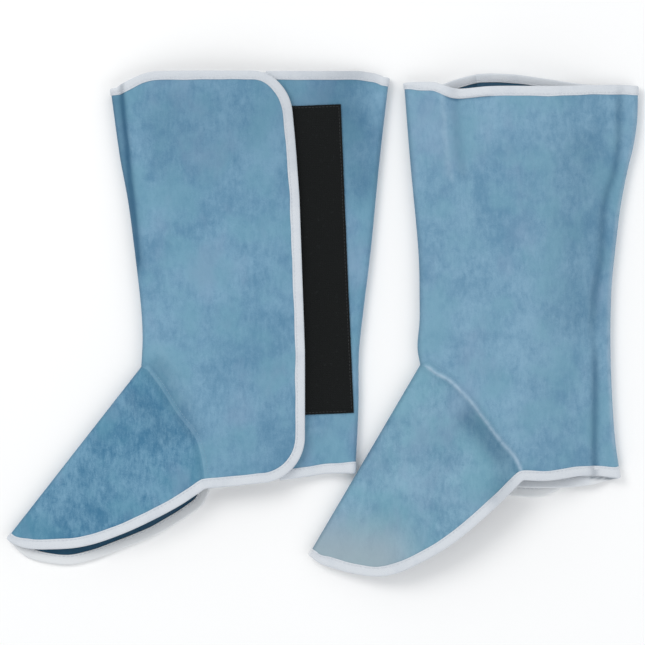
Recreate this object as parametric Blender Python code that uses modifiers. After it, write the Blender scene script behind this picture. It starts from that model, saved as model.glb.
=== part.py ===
"""Pair of leather spats (welder's gaiters), lying flat with the toes to -X.

Each spat is one wrapping leg panel of split leather and a vamp folded on its front line. The left
spat lies with its closure up, the right one with its closure down. Panels are walls lofted between
their outlines; every binding tape and closure tape is made from the points of the panel it lies on.

Outlines are in millimetres, in each spat's own plan: (forward, height), forward from the heel to
the toe and height from the heel up the leg. Everything is built in metres, +Z up.
"""
from collections import namedtuple
from math import cos, pi, sin

import bmesh
import bpy
import numpy as np
from mathutils import Vector

MM = 0.001

# Leather, folds and tapes, in millimetres
LEATHER = 1.5
SEAM_GAP = 0.7
BINDING_GAP = 0.5
TAPE_GAP = 0.6            # tapes lie flat, the leather under them is gently curved
FRONT_BEAD = 5.5          # radius of the rolled front fold, at the middle of the leather
BACK_BEAD = 4.2
TOE_BEAD = 3.8
BINDING_WALL = 0.8
BINDING_WIDTH = 8.6
TOE_BINDING_WIDTH = 4.6   # where the binding turns round the folded toe
BINDING_EDGE = BINDING_WALL + BINDING_GAP  # from the leather's edge to the binding's outside
BINDING_END = 2.0         # bindings stop short of the corner where two bound edges meet
BINDING_LIFT = BINDING_EDGE + 0.12        # a bound edge is held this far off the floor
BINDING_FLAT = 14.0       # the leather stays lifted this far in from a bound edge
BINDING_FALL = 12.0       # and comes down to the floor over this much more
CLOSURE_RISE = 5.8        # flap to under part, middle to middle
HOOK_THICK = 1.4
LOOP_THICK = 1.2
TAPE_WIDTH = 49.6
LOOP_INSET = 11.0         # loop tape from the flap's edge
TAPE_HEIGHTS = (335.4, 56.0)              # ends of the loop tape
DOME_REACH = 95.0         # how far in from a fold the upper layer is still rising
TOE_REACH = 160.0
TOE_SPREAD = 90.0         # the front fold closes to the toe's radius over this distance
TOE_SHIFT = (-1.6, 1.0)   # from the binding's outside at the toe to the leather under it
SEAM_START = (-0.93, -0.37)               # direction in which the seam leaves the front fold
UNDER_SHORT = 4.0         # the under part is fully down this far before the flap's edge
LOW_BEND = 40.0           # size of the flap's rounded lower corner
HIGH_BEND = 32.0
LOW_ABOVE = 6.0           # how much further up than across the lower corner reaches
HIGH_BELOW = 4.0
SMOOTH_ANGLE = 0.7

# Grid of each wall
LEG_ROWS = (0.0, 0.032, 0.07, 0.2, 0.36, 0.52, 0.68, 0.83, 0.93, 0.968, 1.0)
VAMP_ROWS = (0.0, 0.17, 0.34, 0.51, 0.68, 0.81, 0.89, 0.945, 1.0)
SEAM_STEPS = 7
HEM_STEPS = 5
CORNER_STEPS = 3
UNDER_STEPS = 7
BEAD_STEPS = 5

Spat = namedtuple("Spat", "name heel closure_up dome front back flap under top_near top_far "
                  "seam_near seam_far hem_near hem_far hem_under vamp_near vamp_far hook")

# Points of each outline are (forward, height); flap and under are (height, forward).
LEFT = Spat(
    name="left", heel=(30.7, -137.4), closure_up=True, dome=13.0,
    front=((195.4, 97.4), (194.2, 122), (195.4, 150), (201, 200), (207.4, 249), (214.9, 290),
           (223.2, 351)),
    back=((0.4, 0), (-2.5, 60), (-3, 110), (-7.2, 150), (-13.3, 200), (-22.2, 290), (-30.3, 361)),
    flap=((0, 46), (110, 46), (196, 49), (252, 51), (300, 54.5), (368, 61)),
    under=((0, 69), (368, 82)),
    top_near=((-30.3, 361), (-21.5, 365.6), (-10, 366.8), (20, 366.8), (95, 366.6), (170, 366.6),
              (189, 366.2), (201, 364.8), (212, 361.8), (218.4, 357.6), (223.2, 351)),
    top_far=((-30.3, 361), (-20, 364), (-10, 365), (195, 365), (206, 363), (217, 357), (223.2, 351)),
    seam_near=((195.5, 103), (181.5, 84.6), (160, 52), (146, 34), (139.5, 14), (136.5, -13)),
    seam_far=((195.5, 103), (181.5, 84.6), (160, 52), (146, 34), (138, 14), (133, -14)),
    hem_near=((136.5, -13), (108, -10.5), (80, -7.3), (44, -2.7), (26, 0), (0, 0)),
    hem_far=((133, -14), (108, -9), (80, -5.8), (44, -1.5), (26, 0.5), (0, 0)),
    hem_under=((136.5, -13), (108, -10.5), (80, -7.3), (44, -2.7), (26, 0), (0, 0)),
    vamp_near=((136.5, -13), (162.4, -30), (212.5, -54.6), (249.8, -66.4), (285, -68.5),
               (305, -65.5), (319, -59.5)),
    vamp_far=((133, -14), (139, -27.8), (153.3, -39), (182.5, -56.5), (211.6, -68.5), (240.7, -79.1),
              (262, -83.3), (284, -80.8), (303, -74), (319, -59.5)),
    hook=((38.6, 335.4), (26.5, 54.6)))

RIGHT = Spat(
    name="right", heel=(271.8, -139.2), closure_up=False, dome=20.0,
    front=((182.3, 101), (184.8, 117), (183, 140), (182.9, 165), (183.8, 202), (191.6, 289), (197, 358)),
    back=((0, -2.2), (4.8, 33), (8, 82), (9, 120), (8, 171), (3.6, 215), (-0.5, 247.5), (-6.8, 280),
          (-12.1, 302), (-15.3, 324), (-16, 340), (-16, 355.5)),
    flap=((-20, 36), (110, 35), (200, 30), (368, 32)),
    under=((-20, 104), (110, 99), (368, 132)),
    top_near=((-16, 355.5), (-4.5, 356.7), (61, 354.3), (120, 354), (150, 352.4), (163, 356.4),
              (170, 358.4), (197, 358)),
    top_far=((-16, 355.5), (31, 356.7), (69, 362), (100, 366), (131, 366), (152, 360.8),
             (163, 357), (172, 358), (197, 358)),
    seam_near=((182.8, 102), (172, 94.8), (155.6, 85.5), (140, 70.5), (126, 52.5), (110, 31),
               (97, 16), (89.6, -3.4)),
    seam_far=((182.8, 102), (172, 94.8), (155.6, 85.5), (138.3, 69.2), (118.3, 45.5), (103, 17),
              (99, -18.6)),
    hem_near=((89.6, -3.4), (68, -4.2), (52, -2.4), (38, -0.4), (18, 0), (0, -2.2)),
    hem_far=((99, -18.6), (78, -19.6), (63, -16.8), (52, -12.4), (26, -9), (0, -2.2)),
    hem_under=((112, -9.5), (78, -11.2), (52, -11), (34, -9.6), (19, -7.2), (0, -2.2)),
    vamp_near=((89.6, -3.4), (112.8, -26.4), (152, -60), (180.2, -77.5), (204.8, -88.7), (222, -91.5),
               (242, -89.2), (262, -83.6), (277, -78), (285.2, -72.5)),
    vamp_far=((99, -18.6), (106, -18.8), (117, -28), (152, -57), (180.2, -74), (204.8, -85), (222, -88),
              (242, -86.5), (264, -81), (285.2, -72.5)),
    hook=((86.0, 335.4), (60.0, 56.0)))


# ---- curves in the plan

def smooth(value):
    """Zero slope at 0 and at 1."""
    t = np.clip(value, 0.0, 1.0)
    return t * t * (3.0 - 2.0 * t)


def spline(points, steps=16):
    """Dense smooth curve through a few points: an open centripetal Catmull-Rom spline."""
    p = np.asarray(points, float)
    p = np.vstack([2 * p[0] - p[1], p, 2 * p[-1] - p[-2]])
    knots = np.concatenate([[0.0], np.cumsum(np.sqrt(np.linalg.norm(np.diff(p, axis=0), axis=1)))])
    dense = []
    for i in range(1, len(p) - 2):
        t0, t1, t2, t3 = knots[i - 1:i + 3]
        for t in np.linspace(t1, t2, steps, endpoint=False):
            a1 = (t1 - t) / (t1 - t0) * p[i - 1] + (t - t0) / (t1 - t0) * p[i]
            a2 = (t2 - t) / (t2 - t1) * p[i] + (t - t1) / (t2 - t1) * p[i + 1]
            a3 = (t3 - t) / (t3 - t2) * p[i + 1] + (t - t2) / (t3 - t2) * p[i + 2]
            b1 = (t2 - t) / (t2 - t0) * a1 + (t - t0) / (t2 - t0) * a2
            b2 = (t3 - t) / (t3 - t1) * a2 + (t - t1) / (t3 - t1) * a3
            dense.append((t2 - t) / (t2 - t1) * b1 + (t - t1) / (t2 - t1) * b2)
    dense.append(p[-2])
    return np.array(dense)


def along(path, fractions):
    """Points of a path at fractions of its length."""
    lengths = np.concatenate([[0.0], np.cumsum(np.linalg.norm(np.diff(path, axis=0), axis=1))])
    where = np.asarray(fractions) * lengths[-1]
    return np.column_stack([np.interp(where, lengths, path[:, k]) for k in (0, 1)])


def even(path, steps):
    return along(path, np.linspace(0.0, 1.0, steps + 1))


def inset(path, distance):
    """Path moved to its left by a distance."""
    tangent = np.gradient(path, axis=0)
    tangent /= np.linalg.norm(tangent, axis=1)[:, None]
    return path + distance * np.column_stack([-tangent[:, 1], tangent[:, 0]])


def distance_to(points, path):
    """Distance in plan from each point to a path."""
    start, step = path[:-1], np.diff(path, axis=0)
    reach = np.maximum((step ** 2).sum(1), 1e-12)
    gap = points[:, None, :] - start[None]
    t = np.clip((gap * step).sum(2) / reach, 0.0, 1.0)
    return np.linalg.norm(gap - t[..., None] * step, axis=2).min(1)


def corner(start, apex, end, steps):
    """Quarter ellipse from start to end that would meet at the apex if it were square."""
    turn = np.linspace(0.0, pi / 2, 2 * steps + 1)[:, None]
    return apex + (start - apex) * (1 - np.sin(turn)) + (end - apex) * (1 - np.cos(turn))


def cut_between(path, low, high):
    """The part of a path whose forward place is between two values, ends included."""
    order = path[np.argsort(path[:, 0])]
    ends = [[x, np.interp(x, order[:, 0], order[:, 1])] for x in (low, high)]
    inside = order[(order[:, 0] > low) & (order[:, 0] < high)]
    return np.vstack([ends[:1], inside, ends[1:]])


def fit_ends(path, first, last):
    """Path drawn to two end points, bending only the quarter of it next to each."""
    share = np.linspace(0.0, 1.0, len(path))[:, None]
    return path + smooth(1 - share * 4) * (first - path[0]) + smooth(share * 4 - 3) * (last - path[-1])


def patch(bottom, top, first, last, rows):
    """Coons patch in plan: rows run from bottom to top, columns from first to last."""
    columns = np.linspace(0.0, 1.0, len(bottom))[None, :, None]
    height = np.asarray(rows)[:, None, None]
    top = fit_ends(top, first[-1], last[-1])
    ruled = (1 - height) * bottom[None] + height * top[None]
    sides = (1 - columns) * first[:, None] + columns * last[:, None]
    corners = ((1 - columns) * ((1 - height) * first[0] + height * first[-1])
               + columns * ((1 - height) * last[0] + height * last[-1]))
    return ruled + sides - corners


# ---- the form of one spat

class Form:
    """Outlines and heights of one spat, all in its own plan in millimetres."""

    def __init__(self, spat):
        self.spat = spat
        fold = LEATHER / 2
        vamp_fold = np.array([spat.front[0], spat.vamp_near[-1]], float)
        self.front = inset(spline(spat.front), fold)
        self.vamp_fold = inset(vamp_fold[::-1], fold)[::-1]
        self.back = inset(spline(spat.back), -fold)
        self.back[0, 1] += BINDING_EDGE
        self.back[-1, 1] -= BINDING_EDGE
        self.front[-1, 1] -= BINDING_EDGE
        self.toe = self.vamp_fold[-1] + np.array(TOE_SHIFT)
        self.vamp_fold[-1] = self.toe
        notch = (self.front[0] + self.vamp_fold[0]) / 2
        self.front[0] = notch
        self.vamp_fold[0] = notch
        self.front_line = np.vstack([self.front[::-1], even(self.vamp_fold, 20)[1:]])
        self.top = {"near": inset(spline(spat.top_near), -BINDING_EDGE),
                    "far": inset(spline(spat.top_far), -BINDING_EDGE)}
        self.hem = {"near": inset(spline(spat.hem_near), -BINDING_EDGE),
                    "far": inset(spline(spat.hem_far), -BINDING_EDGE)}
        self.under_hem = inset(spline(spat.hem_under), -BINDING_EDGE)
        self.vamp_edge = {"near": inset(spline(spat.vamp_near), BINDING_EDGE),
                          "far": inset(spline(spat.vamp_far), BINDING_EDGE)}
        self.seam = {"near": spline(spat.seam_near), "far": spline(spat.seam_far)}
        for side in ("near", "far"):
            meeting = (self.hem[side][0] + self.vamp_edge[side][0]) / 2
            self.hem[side][0] = self.vamp_edge[side][0] = self.seam[side][-1] = meeting
            self.vamp_edge[side][-1] = self.toe
            keep = self.seam[side][:, 1] >= meeting[1]
            self.seam[side] = np.vstack([self.seam[side][keep][:-1], meeting])
        heights = np.array([row[0] for row in spat.flap], float)
        self.closing = np.column_stack([self.flap_at(heights) + BINDING_EDGE, heights])

    def flap_at(self, height):
        table = np.array(self.spat.flap, float)
        return np.interp(height, table[:, 0], table[:, 1])

    def under_at(self, height):
        table = np.array(self.spat.under, float)
        return np.interp(height, table[:, 0], table[:, 1])

    def bead(self, points):
        """Radius of the fold nearest to each point."""
        front = distance_to(points, self.front_line)
        back = distance_to(points, self.back)
        toe = np.linalg.norm(points - self.toe, axis=1)
        front_radius = TOE_BEAD + (FRONT_BEAD - TOE_BEAD) * smooth(toe / TOE_SPREAD)
        share = smooth(front / np.maximum(front + back, 1e-6))
        return front_radius * (1 - share) + BACK_BEAD * share

    def far_height(self, points):
        """Middle of the layer that lies on the floor."""
        bound = [self.top["far"], self.hem["far"], self.vamp_edge["far"]]
        if not self.spat.closure_up:
            bound.append(self.closing)
        edge = np.minimum.reduce([distance_to(points, path) for path in bound])
        return LEATHER / 2 + BINDING_LIFT * (1 - smooth((edge - BINDING_FLAT) / BINDING_FALL))

    def near_height(self, points):
        """Middle of the upper layer: over the folds, then rising to a low dome."""
        front = distance_to(points, self.front_line) - FRONT_BEAD
        back = distance_to(points, self.back) - BACK_BEAD
        toe = np.linalg.norm(points - self.toe, axis=1)
        rise = smooth(front / DOME_REACH) * smooth(back / DOME_REACH) * smooth(toe / TOE_REACH)
        return LEATHER / 2 + BINDING_LIFT + 2 * self.bead(points) + self.spat.dome * rise

    def flap_height(self, points):
        side = self.near_height if self.spat.closure_up else self.far_height
        return side(points)

    def under_height(self, points):
        """Under part: level with the fold at the back, a full rise inside the flap's edge."""
        back_line = self.back[np.argsort(self.back[:, 1])]
        start = np.interp(points[:, 1], back_line[:, 1], back_line[:, 0]) + BACK_BEAD
        full = self.flap_at(points[:, 1]) - UNDER_SHORT
        rise = CLOSURE_RISE * smooth((points[:, 0] - start) / (full - start))
        return self.flap_height(points) + (-rise if self.spat.closure_up else rise)

    # ---- grids: arrays of (row, column, xyz)

    def lifted(self, plan, height):
        flat = plan.reshape(-1, 2)
        return np.column_stack([flat, height(flat)]).reshape(plan.shape[:2] + (3,))

    def fold_sides(self, fold, radius, rows, inward):
        """Plan points of a fold line at the rows, and the same moved in by the bead's radius."""
        edge = along(fold, rows)
        tangent = np.gradient(edge, axis=0)
        tangent /= np.linalg.norm(tangent, axis=1)[:, None]
        normal = np.column_stack([-tangent[:, 1], tangent[:, 0]])
        normal *= np.sign((normal @ inward))[:, None]
        return edge, edge + normal * np.asarray(radius)[:, None]

    def bead_columns(self, edge, inner, near_first):
        """Half-round columns of a fold between the upper and the lower layer, ends left out."""
        low, high = self.far_height(inner), self.near_height(inner)
        first, last = (high, low) if near_first else (low, high)
        out = []
        for k in range(1, BEAD_STEPS):
            turn = pi * k / BEAD_STEPS
            place = inner + (edge - inner) * sin(turn)
            out.append(np.column_stack([place, (first + last + (first - last) * cos(turn)) / 2]))
        return np.stack(out, axis=1)

    def leg(self):
        """Whole leg panel: flap, fold, full layer, fold, under part."""
        rows = np.array(LEG_ROWS)
        near_flap = self.spat.closure_up
        shut, plain = ("near", "far") if near_flap else ("far", "near")
        front_radius = self.bead(along(self.front, rows))
        back_radius = np.full(len(rows), BACK_BEAD)
        front_edge, front_in = self.fold_sides(self.front, front_radius, rows, np.array([-1.0, 0.0]))
        front_in[0] = self.seam_start()
        back_edge, back_in = self.fold_sides(self.back, back_radius, rows, np.array([1.0, 0.0]))

        flap = self.flap_patch(shut, front_in, rows)
        full = self.full_patch(plain, front_in, back_in, rows)
        under = self.under_patch(shut, back_in, rows)
        plain_height = self.far_height if near_flap else self.near_height
        grid = [self.lifted(flap[:, ::-1], self.flap_height),
                self.bead_columns(front_edge, front_in, near_flap),
                self.lifted(full, plain_height),
                self.bead_columns(back_edge, back_in, not near_flap),
                self.lifted(under, self.under_height)]
        return np.concatenate(grid, axis=1)

    def seam_start(self):
        """Where the seam leaves the front fold's bead, in plan."""
        return self.front[0] + np.array(SEAM_START) * FRONT_BEAD

    def seam_points(self, side):
        """Seam from the bead to the lower edge, in plan."""
        path = self.seam[side].copy()
        shift = self.seam_start() - path[0]
        fade = 1 - smooth(np.linspace(0, 1, len(path)) * 3)
        return even(path + fade[:, None] * shift, SEAM_STEPS)

    def flap_patch(self, side, front_in, rows):
        top, hem = self.top[side], self.hem[side]
        low, high = hem[:, 1].min(), top[:, 1].max()
        edge_low, edge_high = self.flap_at(low) + BINDING_EDGE, self.flap_at(high) + BINDING_EDGE
        hem_end = cut_between(hem, edge_low + LOW_BEND, hem[:, 0].max())[::-1]
        top_end = cut_between(top, edge_high + HIGH_BEND, front_in[-1][0])[::-1]
        edge_heights = np.linspace(low + LOW_BEND + LOW_ABOVE, high - HIGH_BEND - HIGH_BELOW, 24)
        edge = np.column_stack([self.flap_at(edge_heights) + BINDING_EDGE, edge_heights])
        low_bend = corner(hem_end[-1], np.array([edge_low, hem_end[-1][1]]), edge[0], CORNER_STEPS)
        high_bend = corner(top_end[-1], np.array([edge_high, top_end[-1][1]]), edge[-1], CORNER_STEPS)
        bottom = np.vstack([self.seam_points(side), even(hem_end, HEM_STEPS)[1:],
                            low_bend[1:CORNER_STEPS + 1]])
        half_top = np.vstack([top_end, high_bend[1:CORNER_STEPS + 1]])
        half_top = even(half_top, len(bottom) - 1)
        closing = np.vstack([low_bend[CORNER_STEPS:], edge[1:-1], high_bend[CORNER_STEPS:][::-1]])
        return patch(bottom, half_top, front_in, along(closing, rows), rows)

    def full_patch(self, side, front_in, back_in, rows):
        hem = cut_between(self.hem[side], back_in[0][0], self.hem[side][:, 0].max())[::-1]
        top = cut_between(self.top[side], back_in[-1][0], front_in[-1][0])[::-1]
        hem = fit_ends(even(hem, HEM_STEPS + 2), self.seam[side][-1], back_in[0])
        bottom = np.vstack([self.seam_points(side), hem[1:]])
        return patch(bottom, even(top, len(bottom) - 1), front_in, back_in, rows)

    def under_patch(self, side, back_in, rows):
        top, hem = self.top[side], self.under_hem
        low, high = hem[:, 1].min(), top[:, 1].max()
        bottom = cut_between(hem, back_in[0][0], self.under_at(low))
        upper = cut_between(top, back_in[-1][0], self.under_at(high))
        heights = np.linspace(bottom[-1][1], upper[-1][1], 12)
        free = np.column_stack([self.under_at(heights), heights])
        bottom = fit_ends(even(bottom, UNDER_STEPS), back_in[0], free[0])
        return patch(bottom, even(upper, UNDER_STEPS), back_in, along(free, rows), rows)

    def vamp(self):
        """Whole vamp from its near corner over the fold to its far corner, seam to toe edge."""
        rows = np.array(VAMP_ROWS)
        radius = self.bead(along(self.vamp_fold, rows))
        slope = self.vamp_fold[-1] - self.vamp_fold[0]
        inward = np.array([slope[1], -slope[0]]) / np.linalg.norm(slope)
        edge, inner = self.fold_sides(self.vamp_fold, radius, rows, inward)
        inner[0] = self.seam_start()
        halves = []
        for side, height in (("near", self.near_height), ("far", self.far_height)):
            seam = self.seam_points(side)
            toe_edge = even(self.vamp_edge[side][::-1], SEAM_STEPS)
            corner_point = np.repeat(seam[-1:], len(rows), axis=0)
            plan = patch(seam, toe_edge, inner, corner_point, rows)
            halves.append(self.lifted(plan, height))
        bead = self.bead_columns(edge, inner, True)
        return np.concatenate([halves[0][:, ::-1], bead, halves[1]], axis=1)


def surface_normals(points):
    """Normals of a grid of points, each the mean of the faces round it."""
    diagonals = (points[1:, 1:] - points[:-1, :-1], points[1:, :-1] - points[:-1, 1:])
    faces = np.cross(*diagonals)
    normal = np.zeros_like(points)
    for rows in (slice(None, -1), slice(1, None)):
        for columns in (slice(None, -1), slice(1, None)):
            normal[rows, columns] += faces
    return normal / np.linalg.norm(normal, axis=2)[..., None]


def edge_frame(edge, normal, inside):
    """Directions along an edge and in from it, square to the surface's normals."""
    tangent = np.gradient(edge, axis=0)
    tangent /= np.linalg.norm(tangent, axis=1)[:, None]
    inward = np.cross(normal, tangent)
    inward /= np.linalg.norm(inward, axis=1)[:, None]
    return tangent, inward * np.sign((inward * (inside - edge)).sum())


def open_seam(grid, normal, first, last):
    """Draw the first row of a grid back from the seam by half the seam's gap."""
    seam = slice(first, last)
    inward = edge_frame(grid[0, seam], normal[0, seam], grid[1, seam])[1]
    grid[0, seam] += inward * SEAM_GAP / 2


# ---- Blender objects

def place(spat, points):
    """Plan points and heights in millimetres to world metres."""
    p = np.asarray(points, float).reshape(-1, 3)
    return np.column_stack([spat.heel[0] - p[:, 0], spat.heel[1] + p[:, 1], p[:, 2]]) * MM


def material(name, colour, roughness):
    made = bpy.data.materials.get(name) or bpy.data.materials.new(name)
    made.use_nodes = True
    shader = made.node_tree.nodes["Principled BSDF"]
    shader.inputs["Base Color"].default_value = (*colour, 1.0)
    shader.inputs["Roughness"].default_value = roughness
    shader.inputs["Metallic"].default_value = 0.0
    made.diffuse_color = (*colour, 1.0)
    return made


def add_object(name, mesh, slot):
    mesh.materials.append(slot)
    mesh.shade_smooth()
    mesh.set_sharp_from_angle(angle=SMOOTH_ANGLE)
    made = bpy.data.objects.new(name, mesh)
    PARTS.objects.link(made)
    return made


def wall(name, spat, grid, thickness, slot):
    """Open grid of mid-surface points thickened to a closed wall."""
    rows, columns = grid.shape[:2]
    points = place(spat, grid)
    faces = [(r * columns + c, r * columns + c + 1, (r + 1) * columns + c + 1, (r + 1) * columns + c)
             for r in range(rows - 1) for c in range(columns - 1)]
    mesh = bpy.data.meshes.new(name)
    mesh.from_pydata(points.tolist(), [], faces)
    bm = bmesh.new()
    bm.from_mesh(mesh)
    bmesh.ops.remove_doubles(bm, verts=bm.verts, dist=1e-6)
    bmesh.ops.recalc_face_normals(bm, faces=bm.faces)
    bm.to_mesh(mesh)
    bm.free()
    made = add_object(name, mesh, slot)
    solidify = made.modifiers.new("leather wall", "SOLIDIFY")
    solidify.thickness = thickness * MM
    solidify.offset = 0.0
    solidify.use_even_offset = False
    return made


def binding(name, spat, edge, normal, inside, trims, width, slot):
    """Tape folded over an edge: a U section carried along the edge's points."""
    tangent, inward = edge_frame(edge, normal, inside)
    edge = edge.copy()
    edge[0] += tangent[0] * trims[0]
    edge[-1] -= tangent[-1] * trims[1]
    reach = np.reshape(width, (-1, 1)) - BINDING_EDGE
    half_in = LEATHER / 2 + BINDING_GAP
    half_out = half_in + BINDING_WALL
    section = ((reach, half_out), (-BINDING_EDGE, half_out), (-BINDING_EDGE, -half_out), (reach, -half_out),
               (reach, -half_in), (-BINDING_GAP, -half_in), (-BINDING_GAP, half_in), (reach, half_in))
    rings = np.stack([edge + inward * m + normal * n for m, n in section], axis=1)
    count, sides = rings.shape[:2]
    faces = [(i * sides + k, i * sides + (k + 1) % sides,
              (i + 1) * sides + (k + 1) % sides, (i + 1) * sides + k)
             for i in range(count - 1) for k in range(sides)]
    end = (count - 1) * sides
    caps = ((0, 1, 6, 7), (1, 2, 5, 6), (2, 3, 4, 5))
    faces += [cap for cap in caps] + [tuple(end + k for k in reversed(cap)) for cap in caps]
    mesh = bpy.data.meshes.new(name)
    mesh.from_pydata(place(spat, rings).tolist(), [], faces)
    bm = bmesh.new()
    bm.from_mesh(mesh)
    bmesh.ops.recalc_face_normals(bm, faces=bm.faces)
    bm.to_mesh(mesh)
    bm.free()
    return add_object(name, mesh, slot)


def closure_tape(name, spat, plan, height, offset, thickness, slot):
    """Flat tape carried on a panel's own surface, moved off it along the normal."""
    flat = plan.reshape(-1, 2)
    grid = np.column_stack([flat, height(flat)]).reshape(plan.shape[:2] + (3,))
    normal = surface_normals(grid)
    normal *= np.sign(normal[..., 2])[..., None]
    return wall(name, spat, grid + normal * offset, thickness, slot)


def tape_plan(top, bottom, width, rows, columns):
    """Grid of a straight tape in plan, from its two end centres."""
    top, bottom = np.array(top, float), np.array(bottom, float)
    run = (top - bottom) / np.linalg.norm(top - bottom)
    side = np.array([run[1], -run[0]])
    middle = bottom + np.linspace(0, 1, rows)[:, None] * (top - bottom)
    return middle[:, None] + np.linspace(-0.5, 0.5, columns)[None, :, None] * width * side


def build_spat(spat, leather, tape, hook, loop):
    form = Form(spat)
    leg = form.leg()
    vamp = form.vamp()
    flap_columns = SEAM_STEPS + HEM_STEPS + CORNER_STEPS + 1
    seam_first = flap_columns - 1 - SEAM_STEPS
    seam_last = flap_columns + BEAD_STEPS - 1 + SEAM_STEPS + 1
    leg_normal, vamp_normal = surface_normals(leg), surface_normals(vamp)
    open_seam(leg, leg_normal, seam_first, seam_last)
    open_seam(vamp, vamp_normal, 0, vamp.shape[1])
    vamp[:, 0], vamp[:, -1] = vamp[0, 0], vamp[0, -1]
    wall(spat.name + "_leg_panel", spat, leg, LEATHER, leather)
    wall(spat.name + "_vamp", spat, vamp, LEATHER, leather)

    turn = CORNER_STEPS + 1
    butt, at_seam = SEAM_GAP / 2, BINDING_END
    edge = {"top": (leg[-1, turn:], leg_normal[-1, turn:], leg[-2, turn:], (butt, butt)),
            "heel": (leg[0, seam_last - 1:], leg_normal[0, seam_last - 1:], leg[1, seam_last - 1:],
                     (at_seam, butt)),
            "vamp": (vamp[-1], vamp_normal[-1], vamp[-2], (at_seam, at_seam))}
    closing = [(0, c, 1, c) for c in range(seam_first, 0, -1)] + [(0, 0, 1, 1)]
    closing += [(r, 0, r, 1) for r in range(1, len(LEG_ROWS) - 1)] + [(len(LEG_ROWS) - 1, 0, -2, 1)]
    closing += [(len(LEG_ROWS) - 1, c, -2, c) for c in range(1, turn + 1)]
    edge["flap"] = tuple(np.array(points) for points in (
        [leg[r, c] for r, c, _, _ in closing], [leg_normal[r, c] for r, c, _, _ in closing],
        [leg[r, c] for _, _, r, c in closing])) + ((at_seam, butt),)
    for name, (points, normal, inside, trims) in edge.items():
        width = np.full(len(points), BINDING_WIDTH)
        if name == "vamp":
            width[SEAM_STEPS:-SEAM_STEPS] = TOE_BINDING_WIDTH
        binding(f"{spat.name}_{name}_binding", spat, points, normal, inside, trims, width, tape)

    side = 1 if spat.closure_up else -1
    hook_plan = tape_plan(*spat.hook, TAPE_WIDTH, 10, 5)
    closure_tape(spat.name + "_hook_tape", spat, hook_plan, form.under_height,
                 side * (LEATHER / 2 + TAPE_GAP + HOOK_THICK / 2), HOOK_THICK, hook)
    heights = np.array(TAPE_HEIGHTS)
    loop_middle = form.flap_at(heights) + LOOP_INSET + TAPE_WIDTH / 2
    loop_plan = tape_plan(*zip(loop_middle, heights), TAPE_WIDTH, 10, 5)
    closure_tape(spat.name + "_loop_tape", spat, loop_plan, form.flap_height,
                 -side * (LEATHER / 2 + TAPE_GAP + LOOP_THICK / 2), LOOP_THICK, loop)


def centre_on_origin():
    """Place the pair so that the middle of its box is over the origin."""
    bpy.context.view_layer.update()
    corners = np.array([made.matrix_world @ Vector(corner_point)
                        for made in PARTS.objects for corner_point in made.bound_box])
    middle = (corners.min(0) + corners.max(0)) / 2
    for made in PARTS.objects:
        made.location = (-middle[0], -middle[1], 0.0)


for old in list(bpy.data.objects):
    bpy.data.objects.remove(old)
PARTS = bpy.data.collections.new("Leather_spats_pair")
bpy.context.scene.collection.children.link(PARTS)

leather_slot = material("split_leather_blue", (0.165, 0.320, 0.450), 0.9)
tape_slot = material("binding_tape_white", (0.62, 0.65, 0.68), 0.8)
hook_slot = material("hook_tape_black", (0.010, 0.011, 0.012), 0.85)
loop_slot = material("loop_tape_black", (0.012, 0.013, 0.014), 0.95)
for each in (LEFT, RIGHT):
    build_spat(each, leather_slot, tape_slot, hook_slot, loop_slot)
centre_on_origin()
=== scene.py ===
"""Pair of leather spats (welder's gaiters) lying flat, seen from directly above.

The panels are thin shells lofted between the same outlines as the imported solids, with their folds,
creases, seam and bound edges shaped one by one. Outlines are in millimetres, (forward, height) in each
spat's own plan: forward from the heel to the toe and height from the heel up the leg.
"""

from collections import namedtuple
from math import cos, pi, sin

import bmesh
import bpy
import numpy as np
from numpy.linalg import norm
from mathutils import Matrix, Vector, noise
from mathutils.bvhtree import BVHTree


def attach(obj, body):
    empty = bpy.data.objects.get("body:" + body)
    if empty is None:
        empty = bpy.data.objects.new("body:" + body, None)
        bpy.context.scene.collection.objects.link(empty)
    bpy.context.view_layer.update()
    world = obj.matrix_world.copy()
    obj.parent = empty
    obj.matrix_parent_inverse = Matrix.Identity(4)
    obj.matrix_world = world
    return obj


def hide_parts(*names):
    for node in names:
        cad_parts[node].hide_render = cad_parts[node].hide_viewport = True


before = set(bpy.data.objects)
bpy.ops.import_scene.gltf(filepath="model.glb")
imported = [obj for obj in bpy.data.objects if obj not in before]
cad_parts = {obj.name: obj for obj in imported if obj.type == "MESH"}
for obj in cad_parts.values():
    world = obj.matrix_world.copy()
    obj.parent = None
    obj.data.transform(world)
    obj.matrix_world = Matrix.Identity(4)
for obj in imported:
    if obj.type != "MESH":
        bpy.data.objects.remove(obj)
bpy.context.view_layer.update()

MM = 0.001
STEP = 2.3              # spacing of the panels' points, in millimetres

# Leather and folds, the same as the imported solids
LEATHER = 1.5
FRONT_BEAD = 5.5
BACK_BEAD = 4.2
TOE_BEAD = 3.8
EDGE_SET = 1.3                            # from the leather's edge to the binding's outside
BINDING_LIFT = EDGE_SET + 0.45
BINDING_FLAT = 14.0
BINDING_FALL = 12.0
CLOSURE_RISE = 5.8
HOOK_THICK = 1.4
LOOP_THICK = 1.2
TAPE_WIDTH = 49.6
TAPE_HEIGHTS = (335.4, 56.0)
LOOP_INSET = 11.0
DOME_REACH = 95.0
TOE_REACH = 160.0
TOE_SPREAD = 90.0
TOE_SHIFT = (-1.6, 1.0)
SEAM_START = (-0.93, -0.37)
UNDER_SHORT = 4.0
LOW_BEND = 40.0
HIGH_BEND = 32.0
LOW_ABOVE = 6.0
HIGH_BELOW = 4.0

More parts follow.
